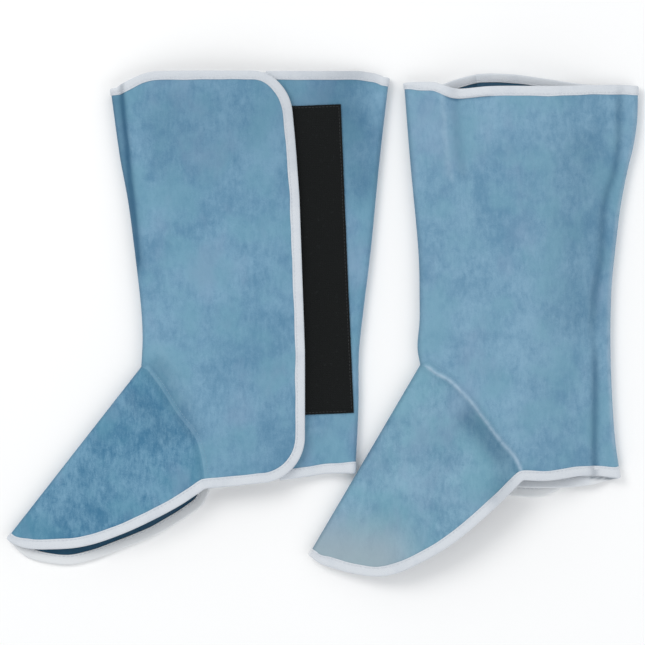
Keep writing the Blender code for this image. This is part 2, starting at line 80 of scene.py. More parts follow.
# Binding tape
TAPE_WALL = 0.8
TAPE_GAP = 0.06                           # between the leather and the tape
TAPE_REACH = 7.9                          # from the leather's edge in to the tape's border
TOE_TAPE_REACH = 5.6
RING_STEP = 1.5
FRAME_SMOOTHING = 2.5
STITCH_PITCH = 3.9
STITCH_INSET = 1.5
TOP_CURL = 1.0                            # how much narrower the tape looks where its edge curls
CORNER_CURL = 2.6
HEEL_SPREAD = 1.8
# painted shade along the front fold's edge
FOLD_PAINTED_SHADE = 0.35

# Stitches: (pitch, thread radius, length)
BINDING_STITCH = (STITCH_PITCH, 0.27, 2.9)
SEAM_STITCH = (3.3, 0.23, 2.4)
TAPE_STITCH = (3.2, 0.22, 2.4)
SEAM_STITCH_OFF = 3.4
TAPE_STITCH_INSET = 2.6
TAPE_LENGTH = 280.0
TAPE_POINTS = ((150, 26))
SEAM_LEAD = 14.0                          # over which the fold leads away from the seam's start
LEG_SIDE = (80.0, 160.0)                  # a place on the leg panel, beyond the seam

# Heights over which a point is on the upper layer, by whether the closure is up
UPPER_SEAM = 7.0
UPPER_LEATHER = {True: 4.2, False: 8.0}
UPPER_TAPE = {True: 4.2, False: 12.0}
UPPER_HEM = {True: 4.2, False: 8.5}

Spat = namedtuple("Spat", "name heel closure_up dome front back flap under top_near top_far "
                  "seam_near seam_far hem_near hem_far hem_under vamp_near vamp_far hook creases "
                  "stains seam_rise seam_wear seed")

# A crease is (depth, width, points): depth over 0 is a ridge and under 0 a trough, and it fades
# out toward both of its ends. A shade line is (strength, width, points): over 0 darker, under 0 lighter,
# and on the lower layer too if it is over 1. Most are painted shade in creases and beside folds, the
# seam and gaps, those under 0 are painted highlights on ridges and folds, and a few broad ones are
# darker patches.
LEFT = Spat(
    name="left", heel=(30.44, -136.77), closure_up=True, dome=13.0,
    front=((195.4, 97.4), (194.2, 122), (195.4, 150), (201, 200), (207.4, 249), (214.9, 290), (223.2, 351)),
    back=((0.4, 0), (-2.5, 60), (-3, 110), (-7.2, 150), (-13.3, 200), (-22.2, 290), (-30.3, 361)),
    flap=((0, 46), (110, 46), (196, 49), (252, 51), (300, 54.5), (368, 61)),
    under=((0, 69), (368, 82)),
    top_near=((-30.3, 361), (-21.5, 365.6), (-10, 366.8), (20, 366.8), (95, 366.6), (170, 366.6),
        (189, 366.2), (201, 364.8), (212, 361.8), (218.4, 357.6), (223.2, 351)),
    top_far=((-30.3, 361), (-20, 364), (-10, 365), (195, 365), (206, 363), (217, 357), (223.2, 351)),
    seam_near=((195.5, 103), (181.5, 84.6), (160, 52), (146, 34), (139.5, 14), (136.5, -13)),
    seam_far=((195.5, 103), (181.5, 84.6), (160, 52), (146, 34), (138, 14), (133, -14)),
    hem_near=((136.5, -13), (108, -10.5), (80, -7.3), (44, -2.7), (26, 0), (0, 0)),
    hem_far=((133, -14), (108, -9), (80, -5.8), (44, -1.5), (26, 0.5), (0, 0)),
    hem_under=((136.5, -13), (108, -10.5), (80, -7.3), (44, -2.7), (26, 0), (0, 0)),
    vamp_near=((136.5, -13), (162.4, -30), (212.5, -54.6), (249.8, -66.4), (285, -68.5), (305, -65.5),
        (319, -59.5)),
    vamp_far=((133, -14), (139, -27.8), (153.3, -39), (182.5, -56.5), (211.6, -68.5), (240.7, -79.1),
        (262, -83.3), (284, -80.8), (303, -74), (319, -59.5)),
    hook=((38.6, 335.4), (26.5, 54.6)),
    creases=(
        (-1.9, 2.3, ((213.6, 366), (213.1, 352), (210.4, 322), (207.6, 298), (205.8, 274), (203.1, 249),
            (200.4, 225), (197.3, 196), (193.8, 170))),
        (0.8, 9.0, ((188, 330), (184, 280), (182, 220), (176, 160))),
        (-0.8, 10.0, ((150, 345), (146, 290), (150, 240), (144, 190))),
        (-0.7, 7.0, ((196, 128), (176, 122), (150, 128), (120, 120))),
        (0.6, 8.0, ((190, 112), (168, 100), (140, 92), (118, 96))),
        (-0.7, 8.0, ((100, 300), (92, 240), (96, 180), (88, 120))),
    ),
    # Painted shade in the front crease and beside the front fold, the flap's edge and the seam; painted
    # highlight where under 0; broad darker patches
    stains=(
        (0.62, 2.6, ((214.3, 372), (212.8, 350), (210.3, 320), (207.8, 298), (205.3, 270), (202.3, 245),
            (198.8, 205), (195.8, 175))),
        (0.40, 7.0, ((219, 352), (216.5, 335), (212.5, 298), (206.5, 250), (200.5, 205), (197.5, 175))),
        (0.28, 24.0, ((-14, 382), (16, 350), (-2, 310), (-8, 230))),
        (0.12, 5.0, ((47, 330), (44, 250), (40, 150), (38, 60))),
        (0.22, 9.0, ((186, 112), (172, 84), (156, 56), (140, 30))),
        (0.16, 12.0, ((214, 70), (196, 62), (178, 44), (168, 20))),
        (-0.10, 9.0, ((188, 128), (172, 100), (158, 76), (146, 52))),
        (0.20, 55.0, ((-20, 310), (60, 322), (140, 322), (210, 310))),
    ),
    seam_rise=0.45, seam_wear=0.07, seed=3.0)

RIGHT = Spat(
    name="right", heel=(271.54, -138.57), closure_up=False, dome=20.0,
    front=((182.3, 101), (184.8, 117), (183, 140), (182.9, 165), (183.8, 202), (191.6, 289), (197, 358)),
    back=((0, -2.2), (4.8, 33), (8, 82), (9, 120), (8, 171), (3.6, 215), (-0.5, 247.5), (-6.8, 280),
        (-12.1, 302), (-15.3, 324), (-16, 340), (-16, 355.5)),
    flap=((-20, 36), (110, 35), (200, 30), (368, 32)),
    under=((-20, 104), (110, 99), (368, 132)),
    top_near=((-16, 355.5), (-4.5, 356.7), (61, 354.3), (120, 354), (150, 352.4), (163, 356.4),
        (170, 358.4), (197, 358)),
    top_far=((-16, 355.5), (31, 356.7), (69, 362), (100, 366), (131, 366), (152, 360.8), (163, 357),
        (172, 358), (197, 358)),
    seam_near=((182.8, 102), (172, 94.8), (155.6, 85.5), (140, 70.5), (126, 52.5), (110, 31), (97, 16),
        (89.6, -3.4)),
    seam_far=((182.8, 102), (172, 94.8), (155.6, 85.5), (138.3, 69.2), (118.3, 45.5), (103, 17),
        (99, -18.6)),
    hem_near=((89.6, -3.4), (68, -4.2), (52, -2.4), (38, -0.4), (18, 0), (0, -2.2)),
    hem_far=((99, -18.6), (78, -19.6), (63, -16.8), (52, -12.4), (26, -9), (0, -2.2)),
    hem_under=((112, -9.5), (78, -11.2), (52, -11), (34, -9.6), (19, -7.2), (0, -2.2)),
    vamp_near=((89.6, -3.4), (112.8, -26.4), (152, -60), (180.2, -77.5), (204.8, -88.7), (222, -91.5),
        (242, -89.2), (262, -83.6), (277, -78), (285.2, -72.5)),
    vamp_far=((99, -18.6), (106, -18.8), (117, -28), (152, -57), (180.2, -74), (204.8, -85), (222, -88),
        (242, -86.5), (264, -81), (285.2, -72.5)),
    hook=((86.0, 335.4), (60.0, 56.0)),
    creases=(
        (-1.6, 4.5, ((-1, 352), (1, 336), (1, 296), (4, 275), (13, 250), (18, 196), (24, 160), (24, 112),
            (23.2, 75))),
        (-2.0, 3.6, ((24, 120), (23.2, 75), (23.2, 58), (23.7, 42), (23.7, 10), (23.5, -8))),
        (1.5, 4.5, ((164, 357), (162, 346), (160, 318), (157, 290), (152, 262))),
        (-1.1, 6.0, ((149, 350), (148, 322), (146, 290), (140, 255))),
        (-0.8, 9.0, ((110, 335), (104, 280), (108, 220), (100, 160))),
        (0.7, 9.0, ((70, 320), (66, 260), (72, 190), (66, 120))),
        (-0.8, 8.0, ((180, 125), (158, 118), (132, 122), (104, 112))),
        (0.8, 9.0, ((176, 140), (150, 138), (120, 142))),
        (-1.2, 1.9, ((184, 110), (172, 103), (158, 94), (147, 84))),
    ),
    # Painted shade in the back creases, beside the seam and under the top band; painted highlights on the
    # back fold and a ridge; a painted shadow in the hem's gap on both layers' tape; broad darker patches
    stains=(
        (0.40, 4.0, ((1, 366), (1, 336), (2, 296), (6, 275), (14, 250), (18, 196), (24, 160), (24, 100))),
        (0.55, 3.6, ((24, 130), (23, 80), (23.5, 42), (23.7, 10), (23.5, -16))),
        (-0.6, 2.0, ((-14.4, 350), (-10.8, 302), (0.8, 247), (5, 215), (9.5, 171), (10.5, 120), (9.5, 82),
            (6.4, 33), (1.6, -2))),
        (-0.28, 2.6, ((163, 372), (161.5, 340), (160, 310), (157, 285), (152, 262))),
        (0.22, 5.0, ((152, 366), (151, 335), (148, 300), (142, 262))),
        (0.45, 1.3, ((163, 347), (152, 342.4), (135, 343.8), (112, 345.2))),
        (0.14, 24.0, ((40, 330), (34, 260), (36, 180), (44, 110))),
        (0.30, 10.0, ((150, 66), (132, 44), (118, 26), (106, 8), (110, -10), (128, -32))),
        (0.14, 11.0, ((150, 62), (132, 46), (116, 28), (104, 10))),
        (0.05, 24.0, ((120, 60), (150, 45), (180, 20))),
        (1.1, 1.3, ((30, -1.4), (20, -1.8), (10, -2.5), (2, -3.4))),
    ),
    seam_rise=0.95, seam_wear=0.8, seed=11.0)


# ---- curves in the plan

def smooth(value):
    """Zero slope at 0 and at 1."""
    t = np.clip(value, 0.0, 1.0)
    return t * t * (3.0 - 2.0 * t)


def between(t, t0, t1, p0, p1):
    return (t1 - t) / (t1 - t0) * p0 + (t - t0) / (t1 - t0) * p1


def bell(gap, width):
    return np.exp(-(gap / width) ** 2)


def faded(share, part):
    """0 at both ends of a line and 1 between, after a part of its length."""
    return smooth(share / part) * smooth((1 - share) / part)


def spline(points, steps=24):
    """Dense smooth curve through a few points: an open centripetal Catmull-Rom spline."""
    p = np.asarray(points, float)
    p = np.vstack([2 * p[0] - p[1], p, 2 * p[-1] - p[-2]])
    knots = np.concatenate([[0.0], np.cumsum(np.sqrt(norm(np.diff(p, axis=0), axis=1)))])
    dense = []
    for i in range(1, len(p) - 2):
        four, at = p[i - 1:i + 3], knots[i - 1:i + 3]
        for t in np.linspace(at[1], at[2], steps, endpoint=False):
            a = [between(t, at[j], at[j + 1], four[j], four[j + 1]) for j in range(3)]
            b = [between(t, at[j], at[j + 2], a[j], a[j + 1]) for j in range(2)]
            dense.append(between(t, at[1], at[2], b[0], b[1]))
    dense.append(p[-2])
    return np.array(dense)


def path_lengths(path):
    return np.concatenate([[0.0], np.cumsum(norm(np.diff(path, axis=0), axis=1))])


def at_lengths(path, lengths, where):
    return np.column_stack([np.interp(where, lengths, path[:, k]) for k in range(path.shape[1])])


def along(path, fractions):
    """Points of a path at fractions of its length."""
    lengths = path_lengths(path)
    return at_lengths(path, lengths, np.asarray(fractions) * lengths[-1])


def even(path, steps):
    return along(path, np.linspace(0.0, 1.0, steps + 1))


def unit(vectors):
    return vectors / norm(vectors, axis=-1, keepdims=True)


def left_of(path):
    """Unit direction to the left of a plan path, at each of its points."""
    tangent = unit(np.gradient(path, axis=0))
    return np.column_stack([-tangent[:, 1], tangent[:, 0]])


def inset(path, distance):
    """Path moved to its left by a distance."""
    return path + distance * left_of(path)


def height_share(path):
    """How far up each point of a path is, 0 at its first and 1 at its last."""
    return (path[:, 1] - path[0, 1]) / (path[-1, 1] - path[0, 1])


def nearest(points, path):
    """Distance in plan from each point to a path, and how far along the path that is (0 to 1)."""
    start, step = path[:-1], np.diff(path, axis=0)
    reach = np.maximum((step ** 2).sum(1), 1e-12)
    best = np.full(len(points), 1e9)
    share = np.zeros(len(points))
    for i in range(len(start)):
        gap = points - start[i]
        t = np.clip(gap @ step[i] / reach[i], 0.0, 1.0)
        far = norm(gap - t[:, None] * step[i], axis=1)
        closer = far < best
        best[closer] = far[closer]
        share[closer] = (i + t[closer]) / len(start)
    return best, share


def distance_to(points, path):
    return nearest(points, path)[0]


def corner(start, apex, end):
    """Quarter ellipse from start to end that would meet at the apex if it were square."""
    turn = np.linspace(0.0, pi / 2, 2 * CORNER_STEPS + 1)[:, None]
    return apex + (start - apex) * (1 - np.sin(turn)) + (end - apex) * (1 - np.cos(turn))


def cut_between(path, low, high):
    """The part of a path whose forward place is between two values, ends included."""
    order = path[np.argsort(path[:, 0])]
    ends = [[x, np.interp(x, order[:, 0], order[:, 1])] for x in (low, high)]
    inside = order[(order[:, 0] > low) & (order[:, 0] < high)]
    return np.vstack([ends[:1], inside, ends[1:]])


def fit_ends(path, first, last):
    """Path drawn to two end points, bending only the quarter of it next to each."""
    share = np.linspace(0.0, 1.0, len(path))[:, None]
    return path + smooth(1 - share * 4) * (first - path[0]) + smooth(share * 4 - 3) * (last - path[-1])


def patch(bottom, top, first, last, rows):
    """Coons patch in plan: rows run from bottom to top, columns from first to last."""
    columns = np.linspace(0.0, 1.0, len(bottom))[None, :, None]
    height = np.asarray(rows)[:, None, None]
    top = fit_ends(top, first[-1], last[-1])
    ruled = (1 - height) * bottom[None] + height * top[None]
    sides = (1 - columns) * first[:, None] + columns * last[:, None]
    corners = ((1 - columns) * ((1 - height) * first[0] + height * first[-1])
               + columns * ((1 - height) * last[0] + height * last[-1]))
    return ruled + sides - corners


def steps_for(length):
    return max(int(round(length / STEP)), 6)


def graded(steps, pull):
    """0 to 1 in steps that are closer together near both ends."""
    t = np.linspace(0.0, 1.0, steps + 1)
    return t - pull * np.sin(2 * pi * t) / (2 * pi)


def lumps(points, seed, scale):
    """Smooth noise in plan, about -1 to 1."""
    return np.array([noise.noise(Vector((x / scale, y / scale, seed))) for x, y in points]) * 1.6


SEAM_STEPS = steps_for(130)
HEM_STEPS = steps_for(52)
CORNER_STEPS = steps_for(30)
FULL_STEPS = steps_for(125)
UNDER_STEPS = steps_for(95)
BEAD_STEPS = 14
LEG_ROWS = graded(steps_for(330), 0.55)
VAMP_ROWS = graded(steps_for(170), 0.35)


# ---- the form of one spat

def lifted(plan, height):
    """Grid of plan points with the heights that a function gives them."""
    flat = plan.reshape(-1, 2)
    return np.column_stack([flat, height(flat)]).reshape(plan.shape[:2] + (3,))


class Form:
    """Outlines and heights of one spat, all in its own plan in millimetres."""

    def __init__(self, spat):
        self.spat = spat
        self.side = 1 if spat.closure_up else -1
        fold = LEATHER / 2
        self.front = inset(spline(spat.front), fold)
        self.vamp_fold = inset(np.array([spat.vamp_near[-1], spat.front[0]], float), fold)[::-1]
        self.back = inset(spline(spat.back), -fold)
        self.back[:, 1] += EDGE_SET * (1 - 2 * height_share(self.back))
        self.front[:, 1] -= EDGE_SET * height_share(self.front)
        self.toe = self.vamp_fold[-1] + np.array(TOE_SHIFT)
        self.vamp_fold[-1] = self.toe
        self.front[0] = self.vamp_fold[0] = (self.front[0] + self.vamp_fold[0]) / 2
        self.front_line = np.vstack([self.front[::-1], even(self.vamp_fold, 20)[1:]])
        self.top, self.hem, self.vamp_edge, self.seam = (
            {side: inset(spline(getattr(spat, f"{edge}_{side}")), move) for side in ("near", "far")}
            for edge, move in (("top", -EDGE_SET), ("hem", -EDGE_SET), ("vamp", EDGE_SET),
                               ("seam", 0.0)))
        for side in ("near", "far"):
            meeting = (self.hem[side][0] + self.vamp_edge[side][0]) / 2
            self.hem[side][0] = self.vamp_edge[side][0] = meeting
            self.vamp_edge[side][-1] = self.toe
            keep = self.seam[side][:-1, 1] >= meeting[1]
            self.seam[side] = np.vstack([self.seam[side][:-1][keep], meeting])
        heights = np.linspace(spat.flap[0][0], spat.flap[-1][0], 40)
        self.closing = np.column_stack([self.flap_at(heights) + EDGE_SET, heights])
        self.under_hem = inset(spline(spat.hem_under), -EDGE_SET)
        self.creases, self.stains = (
            [(strength, width, spline(points, 8)) for strength, width, points in table]
            for table in (spat.creases, spat.stains))

    def flap_at(self, height):
        return np.interp(height, *np.array(self.spat.flap, float).T)

    def under_at(self, height):
        return np.interp(height, *np.array(self.spat.under, float).T)

    def bead(self, points):
        """Radius of the fold nearest to each point."""
        front = distance_to(points, self.front_line)
        back = distance_to(points, self.back)
        toe = norm(points - self.toe, axis=1)
        front_radius = TOE_BEAD + (FRONT_BEAD - TOE_BEAD) * smooth(toe / TOE_SPREAD)
        share = smooth(front / np.maximum(front + back, 1e-6))
        return front_radius * (1 - share) + BACK_BEAD * share

    def far_height(self, points):
        """Middle of the layer that lies on the floor."""
        bound = [self.top["far"], self.hem["far"], self.vamp_edge["far"]]
        if not self.spat.closure_up:
            bound.append(self.closing)
        edge = np.minimum.reduce([distance_to(points, path[::3]) for path in bound])
        return LEATHER / 2 + BINDING_LIFT * (1 - smooth((edge - BINDING_FLAT) / BINDING_FALL))

    def near_height(self, points):
        """Middle of the upper layer: over the folds, then rising to a low dome."""
        front_gap = distance_to(points, self.front_line)
        back_gap = distance_to(points, self.back[::3])
        toe = norm(points - self.toe, axis=1)
        rise = (smooth((front_gap - FRONT_BEAD) / DOME_REACH)
                * smooth((back_gap - BACK_BEAD) / DOME_REACH) * smooth(toe / TOE_REACH))
        base = LEATHER / 2 + EDGE_SET + 0.12 + 2 * self.bead(points) + self.spat.dome * rise
        return base + self.relief(points, front_gap, back_gap)

    def relief(self, points, front_gap, back_gap):
        """Creases and a slight unevenness of the upper layer, none on the folds themselves."""
        height = np.zeros(len(points))
        for depth, width, line in self.creases:
            gap, share = nearest(points, line)
            height += depth * faded(share, 0.2) * bell(gap, width)
        free = smooth((front_gap - FRONT_BEAD + 2) / 10) * smooth((back_gap - BACK_BEAD + 2) / 10)
        seed = self.spat.seed
        rough = 0.75 * lumps(points, seed, 46.0) + 0.3 * lumps(points, seed + 7, 19.0)
        return height * np.maximum(free, 0.35) + rough * free

    def flap_height(self, points):
        return (self.near_height if self.spat.closure_up else self.far_height)(points)

    def under_height(self, points):
        """Under part: level with the fold at the back, a full rise inside the flap's edge."""
        back_line = self.back[np.argsort(self.back[:, 1])]
        start = np.interp(points[:, 1], back_line[:, 1], back_line[:, 0]) + BACK_BEAD
        full = self.flap_at(points[:, 1]) - UNDER_SHORT
        rise = CLOSURE_RISE * smooth((points[:, 0] - start) / (full - start))
        return self.flap_height(points) - self.side * rise

    # ---- grids: arrays of (row, column, xyz)

    def fold_sides(self, fold, radius, rows, inward):
        """Plan points of a fold line at the rows, and the same moved in by the bead's radius."""
        edge = along(fold, rows)
        normal = left_of(edge)
        normal *= np.sign(normal @ inward)[:, None]
        return edge, edge + normal * radius[:, None]

    def from_seam(self, inner):
        """A fold's inner line, led away from the seam's start over its first rows."""
        blend = (1 - smooth(np.arange(len(inner)) * STEP / SEAM_LEAD))[:, None]
        return inner + blend * (self.seam_start() - inner[0])

    def bead_columns(self, edge, inner, near_first):
        """Half-round columns of a fold between the upper and the lower layer, ends left out."""
        low, high = self.far_height(inner), self.near_height(inner)
        first, last = (high, low) if near_first else (low, high)
        out = []
        for k in range(1, BEAD_STEPS):
            turn = pi * k / BEAD_STEPS
            plan = inner + (edge - inner) * sin(turn)
            out.append(np.column_stack([plan, (first + last + (first - last) * cos(turn)) / 2]))
        return np.stack(out, axis=1)

    def leg(self):
        """Whole leg panel: flap, fold, full layer, fold, under part."""
        rows, near_flap = LEG_ROWS, self.spat.closure_up
        shut, plain = ("near", "far") if near_flap else ("far", "near")
        front_edge, front_in = self.fold_sides(self.front, self.bead(along(self.front, rows)), rows,
                                               np.array([-1.0, 0.0]))
        front_in = self.from_seam(front_in)
        back_edge, back_in = self.fold_sides(self.back, np.full(len(rows), BACK_BEAD), rows,
                                             np.array([1.0, 0.0]))
        grid = [lifted(self.flap_patch(shut, front_in)[:, ::-1], self.flap_height),
                self.bead_columns(front_edge, front_in, near_flap),
                lifted(self.full_patch(plain, front_in, back_in),
                       self.far_height if near_flap else self.near_height),
                self.bead_columns(back_edge, back_in, not near_flap),
                lifted(self.under_patch(shut, back_in), self.under_height)]
        self.leg_counts = [part.shape[1] for part in grid]
        return np.concatenate(grid, axis=1)

    def seam_start(self):
        """Where the seam leaves the front fold's bead, in plan."""
        return self.front[0] + np.array(SEAM_START) * FRONT_BEAD

    def seam_points(self, side):
        """Seam from the bead to the lower edge, in plan."""
        path = self.seam[side]
        fade = 1 - smooth(np.linspace(0, 1, len(path)) * 3)
        return even(path + fade[:, None] * (self.seam_start() - path[0]), SEAM_STEPS)

    def flap_patch(self, side, front_in):
        top, hem = self.top[side], self.hem[side]
        low, high = hem[:, 1].min(), top[:, 1].max()
        edge_low, edge_high = self.flap_at(low) + EDGE_SET, self.flap_at(high) + EDGE_SET
        hem_end = cut_between(hem, edge_low + LOW_BEND, hem[:, 0].max())[::-1]
        top_end = cut_between(top, edge_high + HIGH_BEND, front_in[-1][0])[::-1]
        edge_heights = np.linspace(low + LOW_BEND + LOW_ABOVE, high - HIGH_BEND - HIGH_BELOW, 24)
        edge = np.column_stack([self.flap_at(edge_heights) + EDGE_SET, edge_heights])
        low_bend = corner(hem_end[-1], np.array([edge_low, hem_end[-1][1]]), edge[0])
        high_bend = corner(top_end[-1], np.array([edge_high, top_end[-1][1]]), edge[-1])
        bottom = np.vstack([self.seam_points(side), even(hem_end, HEM_STEPS)[1:],
                            low_bend[1:CORNER_STEPS + 1]])
        half_top = even(np.vstack([top_end, high_bend[1:CORNER_STEPS + 1]]), len(bottom) - 1)
        closing = np.vstack([low_bend[CORNER_STEPS:], edge[1:-1], high_bend[CORNER_STEPS:][::-1]])
        return patch(bottom, half_top, front_in, along(closing, LEG_ROWS), LEG_ROWS)

    def full_patch(self, side, front_in, back_in):
        hem = cut_between(self.hem[side], back_in[0][0], self.hem[side][:, 0].max())[::-1]
        top = cut_between(self.top[side], back_in[-1][0], front_in[-1][0])[::-1]
        hem = fit_ends(even(hem, FULL_STEPS), self.seam[side][-1], back_in[0])
        bottom = np.vstack([self.seam_points(side), hem[1:]])
        return patch(bottom, even(top, len(bottom) - 1), front_in, back_in, LEG_ROWS)

    def under_patch(self, side, back_in):
        top, hem = self.top[side], self.under_hem
        bottom = cut_between(hem, back_in[0][0], self.under_at(hem[:, 1].min()))
        upper = cut_between(top, back_in[-1][0], self.under_at(top[:, 1].max()))
        heights = np.linspace(bottom[-1][1], upper[-1][1], 12)
        free = np.column_stack([self.under_at(heights), heights])
        bottom = fit_ends(even(bottom, UNDER_STEPS), back_in[0], free[0])
        return patch(bottom, even(upper, UNDER_STEPS), back_in, along(free, LEG_ROWS), LEG_ROWS)

    def vamp(self):
        """Whole vamp from its near corner over the fold to its far corner, seam to toe edge."""
        rows = VAMP_ROWS
        slope = self.vamp_fold[-1] - self.vamp_fold[0]
        inward = np.array([slope[1], -slope[0]]) / norm(slope)
        edge, inner = self.fold_sides(self.vamp_fold, self.bead(along(self.vamp_fold, rows)), rows, inward)
        inner = self.from_seam(inner)
        halves = []
        for side, height in (("near", self.near_height), ("far", self.far_height)):
            seam = self.seam_points(side)
            toe_edge = even(self.vamp_edge[side][::-1], SEAM_STEPS)
            corner_point = np.repeat(seam[-1:], len(rows), axis=0)
            halves.append(lifted(patch(seam, toe_edge, inner, corner_point, rows), height))
        return np.concatenate([halves[0][:, ::-1], self.bead_columns(edge, inner, True), halves[1]],
                              axis=1)


def surface_normals(points):
    """Normals of a grid of points, each the mean of the faces round it."""
    diagonals = (points[1:, 1:] - points[:-1, :-1], points[1:, :-1] - points[:-1, 1:])
    faces = np.cross(*diagonals)
    normal = np.zeros_like(points)
    for rows in (slice(None, -1), slice(1, None)):
        for columns in (slice(None, -1), slice(1, None)):
            normal[rows, columns] += faces
    return normal / np.maximum(norm(normal, axis=2), 1e-12)[..., None]


# ---- Blender meshes

def quads(rows, columns, start=0):
    """Faces of a grid whose first point has the number start."""
    r, c = np.meshgrid(np.arange(rows - 1), np.arange(columns - 1), indexing="ij")
    low = (r * columns + c).ravel() + start
    return np.column_stack([low, low + 1, low + columns + 1, low + columns])


def place(spat, points):
    """Plan points and heights in millimetres to world metres."""
    p = np.asarray(points, float).reshape(-1, 3)
    return np.column_stack([spat.heel[0] - p[:, 0], spat.heel[1] + p[:, 1], p[:, 2]]) * MM


def piece(name, points, faces, material, uv=None, marks=None, merge=False, angle=0.9):
    """A mesh object; uv is in metres for each point, marks are named numbers for each point."""
    mesh = bpy.data.meshes.new(name)
    mesh.from_pydata(points.tolist(), [], faces)
    if uv is not None:
        layer = mesh.uv_layers.new(name="cut")
        loops = np.empty(len(mesh.loops), int)
        mesh.loops.foreach_get("vertex_index", loops)
        layer.data.foreach_set("uv", np.asarray(uv, float)[loops].ravel())
    for mark, values in (marks or {}).items():
        attribute = mesh.attributes.new(mark, "FLOAT", "POINT")
        attribute.data.foreach_set("value", np.asarray(values, float))
    bm = bmesh.new()
    bm.from_mesh(mesh)
    if merge:
        bmesh.ops.remove_doubles(bm, verts=bm.verts, dist=2e-6)
        bmesh.ops.dissolve_degenerate(bm, edges=bm.edges, dist=1e-7)
    bmesh.ops.recalc_face_normals(bm, faces=bm.faces)
    bm.to_mesh(mesh)
    bm.free()
    mesh.materials.append(material)
    mesh.shade_smooth()
    mesh.set_sharp_from_angle(angle=angle)
    made = bpy.data.objects.new(name, mesh)
    bpy.context.scene.collection.objects.link(made)
    return made


def shell(name, spat, grid, thickness, material, marks=None, outer_low=False):
    """Open grid of middle points made into a closed shell with a rim."""
    off = surface_normals(grid) * thickness / 2
    rows, columns = grid.shape[:2]
    count = rows * columns
    both = np.concatenate([(grid + off).reshape(-1, 3), (grid - off).reshape(-1, 3)])
    front = quads(rows, columns)
    back = front[:, ::-1] + count
    border = np.concatenate([np.arange(columns), np.arange(2, rows + 1) * columns - 1,
                             np.arange(count - 2, count - columns - 1, -1),
                             np.arange(rows - 2, -1, -1) * columns])
    rim = np.column_stack([border[:-1], border[:-1] + count, border[1:] + count, border[1:]])
    faces = np.vstack([front, back, rim]).tolist()
    across, up = path_lengths(grid[rows // 2]), path_lengths(grid[:, columns // 3])
    uv = np.stack(np.meshgrid(across, up), axis=2).reshape(-1, 2) * MM
    both_marks = {mark: np.tile(values.ravel(), 2) for mark, values in (marks or {}).items()}
    if marks:
        # painted shade on the inner face of the leather, inside the tube
        both_marks["painted_inside_shade"] = np.repeat([1.0, 0.0] if outer_low else [0.0, 1.0], count)
    return piece(name, place(spat, both), faces, material, np.vstack([uv, uv]), both_marks, True)


def chain_of(form, leg, vamp):
    """Every bound edge of a spat as one line: points, and the garment's outward normals."""
    flap_columns, bead_columns = form.leg_counts[:2]
    near_corner = flap_columns - 1 - SEAM_STEPS
    far_corner = flap_columns + bead_columns + SEAM_STEPS
    toe_way = slice(-2, 0, -1) if form.spat.closure_up else slice(1, -1)
    leg_normal, vamp_normal = surface_normals(leg), surface_normals(vamp)
    leg_normal *= np.sign(leg_normal[leg.shape[0] // 2, flap_columns // 2, 2]) * form.side
    vamp_normal *= np.sign(vamp_normal[vamp.shape[0] // 2, SEAM_STEPS // 2, 2])
    return tuple(np.vstack([of_leg[0, far_corner:][::-1], of_vamp[-1, toe_way],
                            of_leg[0, 1:near_corner + 1][::-1], of_leg[:, 0], of_leg[-1, 1:]])
                 for of_leg, of_vamp in ((leg, vamp), (leg_normal, vamp_normal)))


def smoothed(values, reach):
    """Moving average along the first axis, with the ends kept."""
    padded = np.concatenate([np.repeat(values[:1], reach, 0), values, np.repeat(values[-1:], reach, 0)])
    total = np.cumsum(np.concatenate([np.zeros((1,) + values.shape[1:]), padded]), axis=0)
    width = 2 * reach + 1
    return (total[width:] - total[:-width]) / width


def even_chain(points, normals):
    """Chain at an even spacing, with its frames smoothed: point, inward, normal, length."""
    keep = np.r_[True, norm(np.diff(points, axis=0), axis=1) > 1e-4]
    points, normals = points[keep], normals[keep]
    lengths = path_lengths(points)
    where = np.linspace(0, lengths[-1], int(lengths[-1] / RING_STEP) + 1)
    p = at_lengths(points, lengths, where)
    reach = max(int(round(FRAME_SMOOTHING / RING_STEP)), 1)
    n = smoothed(smoothed(at_lengths(normals, lengths, where), reach), reach)
    tangent = unit(smoothed(np.gradient(p, axis=0), reach))
    n = unit(n - (n * tangent).sum(1)[:, None] * tangent)
    return p, np.cross(n, tangent), n, where


def tape_section(reach):
    """Outline of a tape folded over an edge: (in from the leather's edge, off its middle)."""
    inner = LEATHER / 2 + TAPE_GAP
    outer = inner + TAPE_WALL
    face = [(reach, inner), (reach + 0.12, inner + 0.3), (reach - 0.1, outer - 0.16),
            (reach - 0.5, outer), (reach - 1.1, outer - 0.04), (reach - 1.5, outer - 0.2),
            (reach - 1.9, outer - 0.05), (reach - 2.6, outer + 0.06), (reach * 0.45, outer + 0.12),
            (1.3, outer + 0.04)]
    turns = [pi * (k + 0.5) / 9 for k in range(9)]
    bight = [(0.45 - outer * sin(turn), outer * cos(turn)) for turn in turns]
    inside = [(-0.2, -inner * 0.7), (-0.2, inner * 0.7)]
    return face + bight + [(m, -n) for m, n in reversed(face)] + inside


def middle_tree(grids):
    """Search tree of the leather's middle surface, in the spat's own plan."""
    points, faces, start = [], [], 0
    for grid in grids:
        points.append(grid.reshape(-1, 3))
        faces.append(quads(*grid.shape[:2], start))
        start += len(points[-1])
    return BVHTree.FromPolygons(np.vstack(points).tolist(), np.vstack(faces).tolist())


def onto_leather(tree, p, inward, normal, depths):
    """How far off its edge's plane the leather is, at each depth in from the edge."""
    off = np.zeros(depths.shape)
    for i, (start, into, out) in enumerate(zip(p, inward, normal)):
        for k, depth in enumerate(depths[i]):
            if depth > 0.6:                   # nearer its edge the leather is as good as level
                guess = start + into * depth
                found = tree.find_nearest(Vector(guess))[0]
                off[i, k] = (np.array(found) - guess) @ out
    return smoothed(off, 1)


